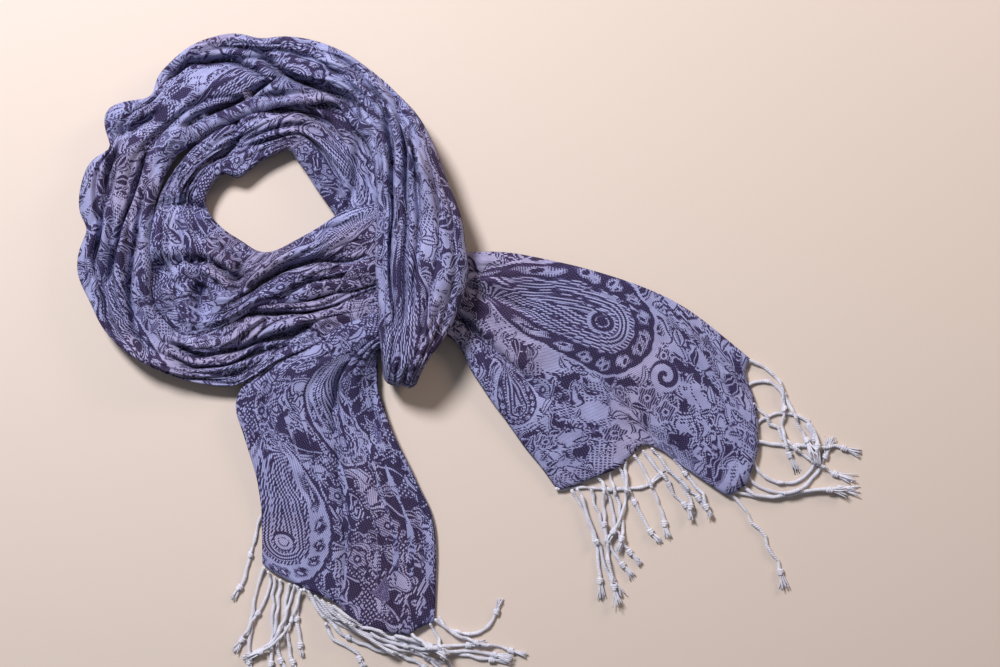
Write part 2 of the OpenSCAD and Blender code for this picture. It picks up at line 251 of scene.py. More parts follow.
# Long creases in plan: first and last place, depth, reach to the left and to the right, run, in mm
creases = [
    # outer wrap, left of the ring
    (12, 17.5, 10, 2, 9, [(-238, 163), (-252, 120), (-264, 86), (-273, 49)]),
    (12, 17.5, 8, 2, 8, [(-256, 150), (-273, 112), (-279, 77), (-268, 35), (-248, 10)]),
    (12, 17, 8, 2, 6, [(-242, 135), (-247, 98), (-255, 56), (-250, 26), (-231, 7)]),
    (15, 18, 7, 2.5, 4, [(-270, 167), (-249, 173), (-230, 187)]),
    (15, 18, 4, 2, 3, [(-266, 178), (-254, 190), (-232, 196)]),
    (14, 17, 6, 2, 5, [(-260, 161), (-267, 137), (-272, 113), (-286, 100)]),
    (12, 15, 4, 3, 3, [(-285, 86), (-280, 56), (-266, 29)]),
    # outer wrap, over the top
    (16.5, 21, 12, 2, 10, [(-228, 206), (-207, 223), (-177, 227), (-160, 220), (-148, 209)]),
    (18, 23, 15, 2, 9, [(-165, 239), (-142, 220), (-128, 211), (-105, 205), (-86, 194), (-72, 175)]),
    (16, 21, 14, 2, 6, [(-216, 175), (-198, 187), (-176, 197), (-158, 206), (-140, 215)]),
    (19, 22.5, 5, 2.5, 4, [(-135, 230), (-112, 224), (-93, 212), (-78, 197)]),
    (20, 24, 6, 2, 3, [(-101, 229), (-81, 215), (-64, 194), (-56, 169)]),
    (20, 24, 6, 2, 3, [(-88, 230), (-68, 212), (-52, 191), (-45, 165)]),
    # over wrap, across the knot
    (21.5, 29, 14, 2.5, 4, [(-64, 193), (-56, 154), (-55, 109), (-56, 64), (-54, 22)]),
    (21.5, 29, 11, 2.2, 4, [(-52, 188), (-46, 154), (-44, 109), (-45, 64), (-50, 16)]),
    (22, 29, 8, 2, 4, [(-42, 173), (-39, 146), (-35, 112), (-38, 71), (-46, 26)]),
    (23, 29, 5, 2, 2, [(-64, 161), (-63, 124), (-62, 86), (-62, 40)]),
    (22, 29, 5, 3, 4, [(-30, 161), (-24, 124), (-22, 86), (-30, 49), (-40, 15)]),
    (23, 28, 4, 3, 4, [(-19, 139), (-11, 101), (-11, 64), (-21, 32)]),
    # inner wrap
    (36.5, 41, 12, 2, 6, [(-177, 185), (-171, 170), (-180, 157), (-200, 146)]),
    (38, 42, 14, 2, 8, [(-231, 119), (-210, 122), (-194, 115)]),
    (38, 41, 5, 3, 3, [(-214, 155), (-219, 136), (-230, 122)]),
    (34, 38.5, 12, 2, 6, [(-168, 184), (-135, 190), (-109, 178), (-93, 160)]),
    (32, 36, 9, 2.5, 5, [(-128, 178), (-112, 161), (-100, 139), (-90, 120)]),
    (35, 38.5, 4, 2.5, 3, [(-176, 160), (-156, 164), (-138, 170)]),
    (31, 36, 10, 2.5, 5, [(-90, 193), (-84, 161), (-87, 131), (-94, 110)]),
    (31, 36, 5, 2, 3, [(-78, 185), (-76, 154), (-78, 120)]),
    (41, 44, 5, 2, 3, [(-198, 110), (-176, 94), (-152, 80)]),
    (41, 44, 5, 2, 3, [(-210, 104), (-186, 88), (-162, 73)]),
    (41, 46.5, 20, 5, 5, [(-201, 59), (-202, 49), (-196, 37)]),
    (41, 46.5, 7, 2, 3, [(-214, 34), (-219, 49), (-213, 63), (-200, 68), (-186, 62), (-180, 47)]),
    (41, 46.5, 14, 2, 4, [(-231, 29), (-236, 49), (-228, 68), (-212, 78), (-194, 79), (-177, 68),
        (-167, 46)]),
    # upper and lower bands across the foot of the ring
    (44, 49.5, 16, 2, 8, [(-177, 44), (-156, 61), (-135, 74), (-114, 80), (-90, 76), (-70, 83)]),
    (44.5, 49.5, 8, 2, 6, [(-148, 82), (-128, 94), (-100, 103), (-70, 115)]),
    (44.5, 49.5, 9, 2, 6, [(-146, 50), (-120, 62), (-94, 67), (-69, 61)]),
    (8, 12.5, 14, 2.5, 6, [(-229, 23), (-191, 26), (-159, 37), (-120, 38), (-94, 47)]),
    (8, 12.5, 12, 2, 5, [(-226, 17), (-204, 9), (-170, 15), (-136, 23), (-111, 34)]),
    (9, 12.5, 10, 2, 4, [(-226, 10), (-206, 0), (-183, 2), (-156, 11), (-128, 20)]),
    (9, 12.5, 5, 2.5, 3, [(-240, 2), (-214, -9), (-184, -9), (-156, 2)]),
    # right tail
    (0, 5.5, 13, 2.5, 9, [(-14, 40), (8, 20), (24, 5), (40, -6), (64, -22)]),
    (0, 5.5, 6, 2.5, 5, [(-3, 47), (20, 50), (45, 40)]),
    (2.5, 5.5, 5, 3, 4, [(-2, 55), (8, 68), (24, 77)]),
    (0, 3, 2.5, 6, 8, [(68, -26), (105, -41), (142, -59)]),
    (0, 3, 2, 6, 8, [(128, 49), (165, 11), (195, -26)]),
    # lower tail
    (54, 61, 14, 3, 7, [(-88, 5), (-98, -11), (-100, -34), (-98, -56), (-93, -86), (-91, -116),
        (-90, -146), (-88, -179)]),
    (54.5, 60, 6, 2, 3, [(-150, 11), (-153, -19), (-154, -50)]),
    (57, 61, 5, 2, 2, [(-52, -62), (-38, -94), (-27, -124), (-25, -154), (-28, -185)]),
    (54, 57, 4, 2, 4, [(-130, 14), (-120, -4), (-106, -23)]),
    (54, 59, 6, 2.5, 4, [(-82, 14), (-72, -5), (-69, -34), (-74, -65)]),
    (55, 60, 3, 3, 5, [(-171, -16), (-164, -45), (-154, -68)]),
    (57, 61, 2.5, 4, 6, [(-128, -49), (-114, -86), (-111, -131), (-116, -169)]),
    (57, 61, 3, 4, 6, [(-64, -56), (-52, -101), (-50, -146), (-56, -184)]),
]
flat_x = row_middle[:, :1] + (u - 0.5) * row_across[:, :1]
flat_y = row_middle[:, 1:2] + (u - 0.5) * row_across[:, 1:2]
crease_depth = np.zeros_like(u)
slit_half = 1.7 * mm
full_crease = 13 * mm
# A crease or pocket dies out over this share of its run, and over this many places
end_fade = 0.14
place_fade = 0.3
far_off = 1.0
for first, last, depth, left, right, run in creases:
    near = np.full_like(u, far_off)
    side = np.zeros_like(u)
    share = np.zeros_like(u)
    corners = np.array(run, float) * mm + laid_shift[:2]
    for k, (start, end) in enumerate(zip(corners[:-1], corners[1:])):
        line = end - start
        t = np.clip(((flat_x - start[0]) * line[0] + (flat_y - start[1]) * line[1]) / (line @ line), 0, 1)
        away_x, away_y = flat_x - start[0] - t * line[0], flat_y - start[1] - t * line[1]
        gap = np.hypot(away_x, away_y)
        closer = gap < near
        near = np.where(closer, gap, near)
        side = np.where(closer, line[0] * away_y - line[1] * away_x, side)
        share = np.where(closer, (k + t) / (len(corners) - 1), share)
    reach = np.where(side > 0, left, right) * mm
    fade = np.clip((0.5 - np.abs(share - 0.5)) / end_fade, 0.12, 1)
    fade = fade * np.clip((s - first) / place_fade, 0, 1) * np.clip((last - s) / place_fade, 0, 1)
    slit = np.exp(-((near / slit_half) ** 3))
    slope = np.exp(-((near / reach) ** 1.2))
    crease_depth = np.maximum(crease_depth, depth * mm * fade * (0.65 * slit + 0.45 * slope))

# Pockets where the cloth dips out of sight: first and last place; x, y, half width, half height and
# depth in mm
pockets = [
    (41.3, 47.0, -198, 49, 7.5, 15.0, 16), (41.3, 47.0, -227, 71, 8.0, 9.0, 16),
    (41.3, 47.0, -232, 36, 6.0, 6.0, 15), (41.3, 47.0, -170, 66, 4.0, 13.0, 13),
    (36.5, 41.8, -219, 147, 6.0, 18.0, 16), (36.5, 39.0, -137, 187, 22.0, 4.0, 9),
]
for first, last, x, y, half_x, half_y, depth in pockets:
    centre = np.array((x, y)) * mm + laid_shift[:2]
    away = np.hypot((flat_x - centre[0]) / (half_x * mm), (flat_y - centre[1]) / (half_y * mm))
    there = np.clip((s - first) / place_fade, 0, 1) * np.clip((last - s) / place_fade, 0, 1)
    crease_depth = np.maximum(crease_depth, depth * mm * there * np.exp(-(away**3)))
# Each row shares its depth a little with the rows beside it, so a crease has no stepped edge
crease_depth[1:-1] = crease_depth[1:-1] * 0.6 + (crease_depth[:-2] + crease_depth[2:]) * 0.2

round_edge = np.sqrt(np.maximum(0, 1 - np.abs(2 * u - 1) ** 3))
height = row_height[:, None] + 0 * u
seen = np.where(s < turn_place, 1, -1)


def surface(side):
    """Height of the bundle's outer cloth on one side: folded deeply where seen, nearly flat below."""
    room = np.maximum(0.9 * row_fold_room[:, None] - 1.2 * mm, 0.3 * mm) + 0 * u
    soft_room = 0.42 * room
    drop = soft_room * np.tanh((broad_depth * (1 - broad) + fine_depth * (1 - fine)) / soft_room)
    drop = drop + (room - drop) * np.clip(crease_depth / full_crease, 0, 1)
    drop = np.where(seen == side, drop, 0.12 * room)
    return side * (height / 2 - drop) * round_edge


upper, lower = surface(1), surface(-1)
inside_bundle = (level > 0) & (level < 1)
# The hidden layers zigzag by this share of the bundle's height, which takes up more of the cloth
zigzag = 0.24
inner_gather = np.where(inside_bundle, zigzag * np.cos(math.pi * inner_columns * u), 0)
lift = lower + (upper - lower) * (level + inner_gather)
swell_height = 4.0 * mm
wrinkle_height = 0.8 * mm
swell = swell_height * rumple(5, 2.2 * u, length / 0.045) * np.clip(height / 0.025, 0.5, 1)
wrinkle = wrinkle_height * rumple(7, 9 * u + length / 0.05, length / 0.016) * np.clip(height / 0.012, 0.5, 1)
lift += (swell + wrinkle) * round_edge * np.where(level > 0.5, 1, -1) * ~inside_bundle

# Lobes along the two edges: edge a or b, place, half length in places, how far out in mm
lobes = [
    ("a", 17.0, 0.22, -6), ("a", 16.45, 0.30, 11), ("a", 15.9, 0.20, -9), ("a", 15.2, 0.5, 5),
    ("a", 14.6, 0.2, -5), ("a", 14.0, 0.4, 3), ("a", 18.0, 0.5, 2), ("a", 19.3, 0.3, -4),
    ("a", 20.2, 0.6, 2), ("a", 12.9, 0.4, 2), ("b", 14.5, 2.2, 4), ("b", 18.5, 2.0, 4),
    ("b", 20.4, 0.8, 5), ("b", 16.4, 0.4, -2), ("a", 38.0, 2.2, 5), ("a", 41.0, 1.6, 4),
    ("a", 36.0, 0.9, 7), ("b", 38.0, 0.6, 5), ("b", 44.6, 1.5, 2), ("a", 35.4, 0.7, 7),
    ("b", 22.3, 0.8, 6), ("b", 11.0, 1.2, 6), ("a", 46.0, 2.0, 5), ("a", 25, 3, 2),
    ("a", 9.4, 1.0, 9), ("a", 54.5, 1, 4),
]
edge_out = {"a": 0 * s, "b": 0 * s}
for edge, place, half, out in lobes:
    edge_out[edge] = edge_out[edge] + out * mm * np.exp(-(((s - place) / half) ** 2))
wobble_out = 1.8 * mm
wobble = wobble_out * rumple(31, np.where(u > 0.5, 3.5, 0.5), length / 0.022)
wobble = wobble * np.clip(height / 0.02, 0.25, 1)
spread = wobble + np.where(u > 0.5, edge_out["b"], edge_out["a"])
spread = spread * (2 * np.abs(u - 0.5)) ** 2 * np.sign(u - 0.5)

lean_aside = 3.0 * mm
lean = lean_aside * rumple(43, 4 * u, length / 0.05) * np.clip(height / 0.02, 0.1, 1) * round_edge
sideways = (u - 0.5) * row_band[:, None] + lean + spread
points = row_middle[:, None, :] + lift[..., None] * row_facing[:, None, :]
points = points + sideways[..., None] * (row_across / row_band[:, None])[:, None, :]


def reach_to_hem(corners, a, b):
    """How far the hem's outline stands out beyond the last place, across the band; and which way."""
    line = b - a
    out = np.array((line[1], -line[0])) / np.linalg.norm(line)
    corner = np.array(corners, float) * mm + laid_shift[:2]
    share = (corner - a) @ line / (line @ line)
    reach = (corner - a) @ out
    order = np.argsort(share)
    return np.interp(u, np.r_[0, share[order], 1], np.r_[0, reach[order], 0]), out


pattern_along = length.copy()
tail_run = 0.16
for corners, place, side in ((right_hem, places[0], 1), (lower_hem, places[-1], -1)):
    reach, out = reach_to_hem(corners, place[:2], place[2:4])
    from_hem = length if side == 1 else length[-1, 0] - length
    pull = np.clip(1 - from_hem / tail_run, 0, 1) ** 2
    points[..., :2] += (reach * pull)[..., None] * out
    pattern_along -= side * reach * pull

# Settle the cloth: ease sharp kinks across it, then nothing lies lower than the floor
eased = points.copy()
eased[:, 1:-1] = points[:, 1:-1] * 0.6 + (points[:, :-2] + points[:, 2:]) * 0.2
points = np.where(inside_bundle[..., None], points, eased)
points[..., 2] = np.maximum(points[..., 2], cloth_thickness * 0.6)

cloth_up = np.cross(np.gradient(points, axis=1), np.gradient(points, axis=0))
cloth_up /= np.maximum(np.linalg.norm(cloth_up, axis=2), 1e-9)[..., None]
column_step = np.linalg.norm(np.diff(points, axis=1), axis=2)
pattern_across = np.concatenate([np.zeros((row_count, 1)), np.cumsum(column_step, axis=1)], axis=1)
middle_top = pattern_across[:, -outer_columns // 2]
middle_bottom = pattern_across[:, outer_columns // 2]
# The map is measured from the middle of the layer on top, which is another one past the turn
change_start = 28.5
change_run = 3
change_over = np.clip((row_s - change_start) / change_run, 0, 1)
reference = middle_top * (1 - change_over) + middle_bottom * change_over
pattern_across = pattern_across - reference[:, None]
# Along the rope the cloth is also puckered finely across, so its figures look drawn out lengthwise
puckered = np.interp(row_s, [2.5, 5, 55, 57.5], [1, 1.25, 1.25, 1])
pattern_across = pattern_across * puckered[:, None]


def shell_of_cloth(name, sheet_points, sheet_up, uv_across, uv_along, thickness):
    """Closed thin shell round a grid of points: face, reverse and a rim, with the weave's own map."""
    rows, columns = sheet_points.shape[:2]
    number = np.arange(rows * columns).reshape(rows, columns)
    face = np.stack([number[:-1, :-1], number[:-1, 1:], number[1:, 1:], number[1:, :-1]], -1).reshape(-1, 4)
    reverse = face[:, ::-1] + rows * columns
    border = np.concatenate([number[0, :-1], number[:-1, -1], number[-1, :0:-1], number[:0:-1, 0]])
    following = np.roll(border, -1)
    rim = np.stack([following, border, border + rows * columns, following + rows * columns], -1)
    vertices = np.concatenate([
        (sheet_points + sheet_up * thickness / 2).reshape(-1, 3),
        (sheet_points - sheet_up * thickness / 2).reshape(-1, 3),
    ])
    vertices[:, 2] = np.maximum(vertices[:, 2], 0)
    faces = np.concatenate([face, reverse, rim])
    mesh = bpy.data.meshes.new(name)
    mesh.from_pydata(vertices.tolist(), [], faces.tolist())
    weave_map = mesh.uv_layers.new(name="weave")
    uv = np.stack([uv_across.reshape(-1), uv_along.reshape(-1)], 1)
    weave_map.data.foreach_set("uv", uv[faces.reshape(-1) % (rows * columns)].astype(np.float32).reshape(-1))
    kinds = np.repeat([0, 1, 0], [len(face), len(reverse), len(rim)])
    mesh.polygons.foreach_set("material_index", kinds.astype(np.int32))
    mesh.polygons.foreach_set("use_smooth", np.ones(len(faces), bool))
    mesh.update()
    piece = bpy.data.objects.new(name, mesh)
    bpy.context.collection.objects.link(piece)
    return piece


panel = shell_of_cloth("woven_panel", points, cloth_up, pattern_across, pattern_along, cloth_thickness)


class Draft:
    """One number that varies over the weave, as a node's output, with the usual arithmetic."""

    tree = None

    def __init__(self, socket):
        self.socket = socket

    @classmethod
    def node(cls, operation, *values):
        node = cls.tree.nodes.new("ShaderNodeMath")
        node.operation = operation
        for slot, value in zip(node.inputs, values):
            if isinstance(value, Draft):
                cls.tree.links.new(value.socket, slot)
            else:
                slot.default_value = value
        return Draft(node.outputs[0])

    def __add__(self, other):
        return Draft.node("ADD", self, other)

    def __radd__(self, other):
        return Draft.node("ADD", other, self)

    def __sub__(self, other):
        return Draft.node("SUBTRACT", self, other)

    def __rsub__(self, other):
        return Draft.node("SUBTRACT", other, self)

    def __mul__(self, other):
        return Draft.node("MULTIPLY", self, other)

    def __rmul__(self, other):
        return Draft.node("MULTIPLY", other, self)

    def __truediv__(self, other):
        return Draft.node("DIVIDE", self, other)


def both(a, b):
    return Draft.node("MINIMUM", a, b)


def either(a, b):
    return Draft.node("MAXIMUM", a, b)


def size_of(a):
    return Draft.node("ABSOLUTE", a)


def wave(a):
    return Draft.node("SINE", a)


def distance(a, b):
    return Draft.node("SQRT", a * a + b * b)


def inside(value, edge, soft):
    """1 where value is under edge, 0 over it, with a soft step between."""
    node = Draft.tree.nodes.new("ShaderNodeMapRange")
    node.interpolation_type = "SMOOTHSTEP"
    Draft.tree.links.new(value.socket, node.inputs["Value"])
    node.inputs["From Min"].default_value = edge - soft
    node.inputs["From Max"].default_value = edge + soft
    node.inputs["To Min"].default_value = 1
    node.inputs["To Max"].default_value = 0
    return Draft(node.outputs["Result"])


def blend(a, b, share):
    return a + (b - a) * share


def vector_of(x, y):
    node = Draft.tree.nodes.new("ShaderNodeCombineXYZ")
    Draft.tree.links.new(x.socket, node.inputs["X"])
    Draft.tree.links.new(y.socket, node.inputs["Y"])
    return node.outputs["Vector"]


def clouds(x, y, scale, detail=1.0):
    """Smooth random field, about 0 to 1, with features 1 / scale long."""
    node = Draft.tree.nodes.new("ShaderNodeTexNoise")
    node.noise_dimensions = "2D"
    Draft.tree.links.new(vector_of(x, y), node.inputs["Vector"])
    node.inputs["Scale"].default_value = scale
    node.inputs["Detail"].default_value = detail
    return Draft(node.outputs["Fac"])


full_turn = 6.283


def scattered(x, y, pitch, uneven=1.0):
    """Scattered places: offset from the nearest, turned at random, and two random numbers."""
    node = Draft.tree.nodes.new("ShaderNodeTexVoronoi")
    node.voronoi_dimensions = "2D"
    Draft.tree.links.new(vector_of(x, y), node.inputs["Vector"])
    node.inputs["Scale"].default_value = 1 / pitch
    node.inputs["Randomness"].default_value = uneven
    where = Draft.tree.nodes.new("ShaderNodeSeparateXYZ")
    Draft.tree.links.new(node.outputs["Position"], where.inputs["Vector"])
    lot = Draft.tree.nodes.new("ShaderNodeSeparateColor")
    Draft.tree.links.new(node.outputs["Color"], lot.inputs["Color"])
    dx, dy = x - Draft(where.outputs["X"]), y - Draft(where.outputs["Y"])
    angle = Draft(lot.outputs["Red"]) * full_turn
    c, n = Draft.node("COSINE", angle), wave(angle)
    return dx * c + dy * n, dy * c - dx * n, Draft(lot.outputs["Green"]), Draft(lot.outputs["Blue"])


def paisley(x, y, heart, tip, head, hook):
    """Bent teardrop: 0 on its axis and 1 on its outline; distance in heads and angle round its heart."""
    reach = math.dist(heart, tip)
    c, n = (tip[0] - heart[0]) / reach, (tip[1] - heart[1]) / reach
    dx, dy = x - heart[0], y - heart[1]
    along = dx * c + dy * n
    over = dy * c - dx * n
    share = both(either(along / reach, 0.0), 1.0)
    over = over - share * share * hook
    width = head * Draft.node("POWER", 1.0 - share * share, 0.75) + 0.02
    round_end = distance(along, over) / head
    taper = size_of(over) / width
    front = inside(along * -1.0, 0.0, head * 0.12)
    return blend(round_end, taper, front), round_end, Draft.node("ARCTAN2", over, along)


def repeat(value, pitch):
    """Distance from the nearest of evenly spaced lines, two pitches apart."""
    return Draft.node("PINGPONG", value + pitch * 256.0, pitch)


def steps(value, pitch):
    """The value held at the middle of each step."""
    return (Draft.node("FLOOR", value / pitch) + 0.5) * pitch


def leaves(x, y, pitch, long, more):
    """Scattered bent leaves: 1 on the outline, place along and off the vein, and a random number."""
    leaf_x, leaf_y, lot_long, lot_kind = scattered(x, y, pitch, uneven=0.75)
    half = long + lot_long * more
    leaf_y = leaf_y + leaf_x * leaf_x * (lot_kind - 0.5) * (0.9 / long)
    outline = size_of(leaf_y) / (half * 0.40) + (leaf_x * leaf_x) / (half * half)
    return outline, leaf_x, leaf_y, lot_kind


def worked_over(figure, outline, along, off, kind):
    """Leaves in both tones, each with a thin border in the other; some veined and some laddered."""
    dark_leaf = inside(repeat(kind * 7.0, 0.5), 0.27, 0.02)
    vein = both(inside(size_of(off), 0.45, 0.15), inside(outline, 0.75, 0.1))
    ladder = both(inside(repeat(along, 1.0), 0.45, 0.15), inside(outline, 0.62, 0.08))
    mark = either(vein, both(ladder, inside(kind, 0.35, 0.02)))
    figure = blend(figure, 1.0 - dark_leaf, inside(outline, 1.32, 0.1))
    return blend(figure, size_of(dark_leaf - mark), inside(outline, 1.0, 0.08))


def jacquard_figure(x, y):
    """The woven figure, in millimetres on the cloth: 1 where the dark figure floats on the pale ground."""
    bend_x = x + (clouds(x, y, 0.040) - 0.5) * 14.0
    bend_y = y + (clouds(x + 300.0, y, 0.040) - 0.5) * 14.0

    # Ground in broad dark and pale areas, darker toward the lower end, each area edged with a line
    growth = clouds(bend_x, bend_y * 0.75, 0.060, 0.7) + (1.0 - inside(y, 1640.0, 60.0)) * 0.035
    figure = inside(growth, 0.465, 0.010)
    figure = either(figure, inside(size_of(growth - 0.515), 0.012, 0.004))
    figure = figure * (1.0 - inside(size_of(growth - 0.415), 0.012, 0.004))
    stem = clouds(bend_x + 500.0, bend_y, 0.026, 0.3)
    figure = size_of(figure - inside(size_of(stem - 0.5), 0.011, 0.004))

    # Patches worked in bold slanting dashes and in a small check
    region = clouds(x + 900.0, y, 0.030)
    slanting = inside(repeat(x * 0.55 + y, 1.35), 0.62, 0.2)
    dashes = both(slanting, inside(repeat(y * 0.55 - x, 3.2), 2.5, 0.3))
    figure = blend(figure, dashes, both(1.0 - inside(region, 0.57, 0.01), inside(region, 0.62, 0.01)))
    check_rising = inside(repeat(x * 0.7 + y * 0.7, 1.4), 0.75, 0.2)
    check = both(check_rising, inside(repeat(y * 0.7 - x * 0.7, 1.4), 0.8, 0.2))
    figure = blend(figure, check, inside(region, 0.35, 0.01))

    figure = worked_over(figure, *leaves(bend_x + 40.0, bend_y, pitch=15.0, long=3.2, more=2.0))
    figure = worked_over(figure, *leaves(bend_x, bend_y, pitch=23.0, long=6.0, more=3.4))

    # Blossoms with five petals and an open eye
    bloom_x, bloom_y, lot_bloom, _ = scattered(x + 77.0, y + 31.0, pitch=52.0)
    bloom_r = distance(bloom_x, bloom_y)
    petals = wave(Draft.node("ARCTAN2", bloom_y, bloom_x) * 5.0) * 1.2 + (5.2 + lot_bloom * 3.0)
    strokes = inside(repeat(x * 0.5 - y * 0.9, 0.9), 0.62, 0.2)
    bloom = both(inside(bloom_r - petals, 0.0, 0.4), either(strokes, inside(bloom_r, 3.6, 0.3)))
    eye = both(inside(bloom_r, 3.2, 0.4), 1.0 - inside(bloom_r, 1.5, 0.4))
    figure = figure * (1.0 - inside(bloom_r - petals, 1.6, 0.4))
    figure = either(figure, bloom - eye)

    # Scrolls: a few scattered spiral stems, and one at a fixed place by the first hem
    hem_x, hem_y = 48.0, 15.0
    scroll_x, scroll_y, lot_scroll, _ = scattered(x + 11.0, y + 157.0, pitch=66.0)
    hem_scroll = inside(distance(x - hem_x, y - hem_y), 20.0, 0.1)
    scroll_x, scroll_y = blend(scroll_x, x - hem_x, hem_scroll), blend(scroll_y, y - hem_y, hem_scroll)
    lot_scroll = lot_scroll * (1.0 - hem_scroll)
    scroll_r = distance(scroll_x, scroll_y)
    coil = scroll_r / 9.5 - Draft.node("ARCTAN2", scroll_y, scroll_x) / full_turn
    near_scroll = both(inside(scroll_r, 12.0, 0.8), inside(lot_scroll, 0.06, 0.02))
    return blend(figure, inside(repeat(coil, 0.5), 0.22, 0.05), near_scroll)


def rings_of_paisley(f, heart_f, angle, head, x, y):
    """What fills a big paisley: rope-like rings, a dark heart and a border of small blossoms."""
    rope = inside(repeat(x * 0.8 + y * 0.6, 1.1), 0.55, 0.2)
    heart = both(inside(heart_f, 0.20, 0.012), 1.0 - inside(size_of(heart_f - 0.11), 0.012, 0.008))
    rope_rings = either(inside(size_of(f - 0.26), 0.035, 0.01), inside(size_of(f - 0.52), 0.040, 0.01))
    thin_rings = inside(repeat((f + heart_f * 0.15) * head, 1.6), 0.80, 0.25)
    thin_rings = both(thin_rings, inside(f, 0.47, 0.01))
    thin_rings = thin_rings * (1.0 - inside(size_of(heart_f - 0.24), 0.04, 0.01))
    border = both(inside(0.57 + wave(angle * 14.0) * 0.012 - f, 0.0, 0.01), inside(f, 1.0, 0.012))
    bead_across = (f - 0.785) / 0.13
    bead_along = repeat(angle, 0.25) / 0.19
    bead_r = bead_across * bead_across + bead_along * bead_along + wave(angle * 27.0 + f * 30.0) * 0.3
    strokes = inside(repeat(x * 0.5 - y * 0.9, 0.8), 0.48, 0.2)
    bead = both(inside(bead_r, 1.0, 0.2), either(strokes, inside(bead_r, 0.5, 0.1)))
    bead = both(bead, 1.0 - inside(bead_r, 0.10, 0.08))
    filling = either(heart, both(rope, rope_rings))
    return either(either(filling, thin_rings), border - both(border, bead))


# Big paisleys, in millimetres on the weave's map: heart, tip, breadth of the head, bend of the tail
big_paisleys = [
    ((37, 73), (2, 162), 40, -8),
    ((-62, 68), (-40, 103), 14, 3),
    ((-25, 415), (-18, 505), 27, 8),
    ((10, 700), (28, 610), 28, -8),
    ((12, 965), (18, 865), 30, 8),
    ((-8, 1190), (0, 1100), 27, 8),
    ((10, 1425), (22, 1515), 26, -8),
    ((24, 1722), (-8, 1641), 20, 4),
    ((-53, 1804), (-44, 1712), 36, 6),
]


def jacquard(name, pale_ground):
    """Two-tone jacquard twill. The reverse is the same figure with its tones changed over."""
    cloth = bpy.data.materials.new(name)
    cloth.use_nodes = True
    Draft.tree = cloth.node_tree
    nodes, links = cloth.node_tree.nodes, cloth.node_tree.links
    shader = nodes["Principled BSDF"]
    weave_map = nodes.new("ShaderNodeUVMap")
    weave_map.uv_map = "weave"
    split = nodes.new("ShaderNodeSeparateXYZ")
    links.new(weave_map.outputs["UV"], split.inputs["Vector"])
    x, y = Draft(split.outputs["X"]) * 1000.0, Draft(split.outputs["Y"]) * 1000.0

    # Every edge of the figure is stepped from one twill line to the next
    twill_x, twill_y = 0.88, 0.47
    twill_pitch = 1.2
    thread_pitch = 0.4
    across_twill = x * twill_x + y * twill_y
    along_twill = x * twill_y - y * twill_x
    line = steps(across_twill, twill_pitch)
    jump = wave(line * 37.0) * thread_pitch
    stepped = steps(along_twill + jump, thread_pitch) - jump
    weave_x = line * twill_x + stepped * twill_y
    weave_y = line * twill_y - stepped * twill_x
    dark = jacquard_figure(weave_x, weave_y)
    drawn_x = weave_x + (clouds(weave_x, weave_y + 700.0, 0.035) - 0.5) * 5.0
    drawn_y = weave_y + (clouds(weave_x + 200.0, weave_y, 0.035) - 0.5) * 5.0
    for heart, tip, head, hook in big_paisleys:
        f, heart_f, angle = paisley(drawn_x, drawn_y, heart, tip, head, hook)
        filling = rings_of_paisley(f, heart_f, angle, head, weave_x, weave_y)
        scallop = f + wave(angle * 18.0) * 0.02
        dark = dark * (1.0 - inside(scallop, 1.0 + 2.5 / head, 0.01))
        dark = either(dark, both(filling, inside(scallop, 1.0, 0.012)))
    if not pale_ground:
        dark = 1.0 - dark

    # Threads: pale ones with dark gaps on the pale parts, broken pale flecks on the dark ones
    gap = inside(repeat(across_twill, twill_pitch / 2), 0.20, 0.18)
    fleck = clouds(x, y, 0.8, 2.0)
    pale_cloth = 1.0 - gap * (0.25 + fleck * 0.75)
    broken = inside(repeat(along_twill + line * 0.8, 1.2) + fleck * 1.2, 1.0, 0.3)
    dark_cloth = (1.0 - gap) * broken
    wear = clouds(x, y, 0.05, 3.0)
    thread = blend(0.38 + pale_cloth * (0.34 + wear * 0.42), 0.02 + dark_cloth * 0.30 + wear * 0.10, dark)

    ramp = nodes.new("ShaderNodeValToRGB")
    links.new(thread.socket, ramp.inputs["Fac"])
    ramp.color_ramp.elements[0].position = 0.0
    ramp.color_ramp.elements[0].color = (0.014, 0.007, 0.026, 1)
    ramp.color_ramp.elements[1].position = 1.0
    ramp.color_ramp.elements[1].color = (0.375, 0.385, 0.63, 1)
    mid_tone = ramp.color_ramp.elements.new(0.5)
    mid_tone.color = (0.093, 0.081, 0.197, 1)
    # Painted light: broad random patches of the cloth are multiplied by a warm tint, standing in for warm
    # light falling on parts of it
    painted_warm_light = inside(clouds(x + 50.0, y, 0.009, 1.0), 0.42, 0.10)
    tint = nodes.new("ShaderNodeMix")
    tint.data_type = "RGBA"
    tint.blend_type = "MULTIPLY"
    links.new((painted_warm_light * 0.6).socket, tint.inputs["Factor"])
    links.new(ramp.outputs["Color"], tint.inputs["A"])
    tint.inputs["B"].default_value = (1.12, 0.93, 0.80, 1)
    links.new(tint.outputs["Result"], shader.inputs["Base Color"])

    relief = nodes.new("ShaderNodeBump")
    relief.inputs["Strength"].default_value = 0.5
    relief.inputs["Distance"].default_value = 0.0006
    links.new((fleck * 0.5 - gap * 0.5).socket, relief.inputs["Height"])
    links.new(relief.outputs["Normal"], shader.inputs["Normal"])
    shader.inputs["Roughness"].default_value = 0.78
    shader.inputs["Specular IOR Level"].default_value = 0.10
    shader.inputs["Sheen Weight"].default_value = 0.05
    shader.inputs["Sheen Roughness"].default_value = 0.45
    shader.inputs["Sheen Tint"].default_value = (0.72, 0.76, 1.0, 1)
    return cloth


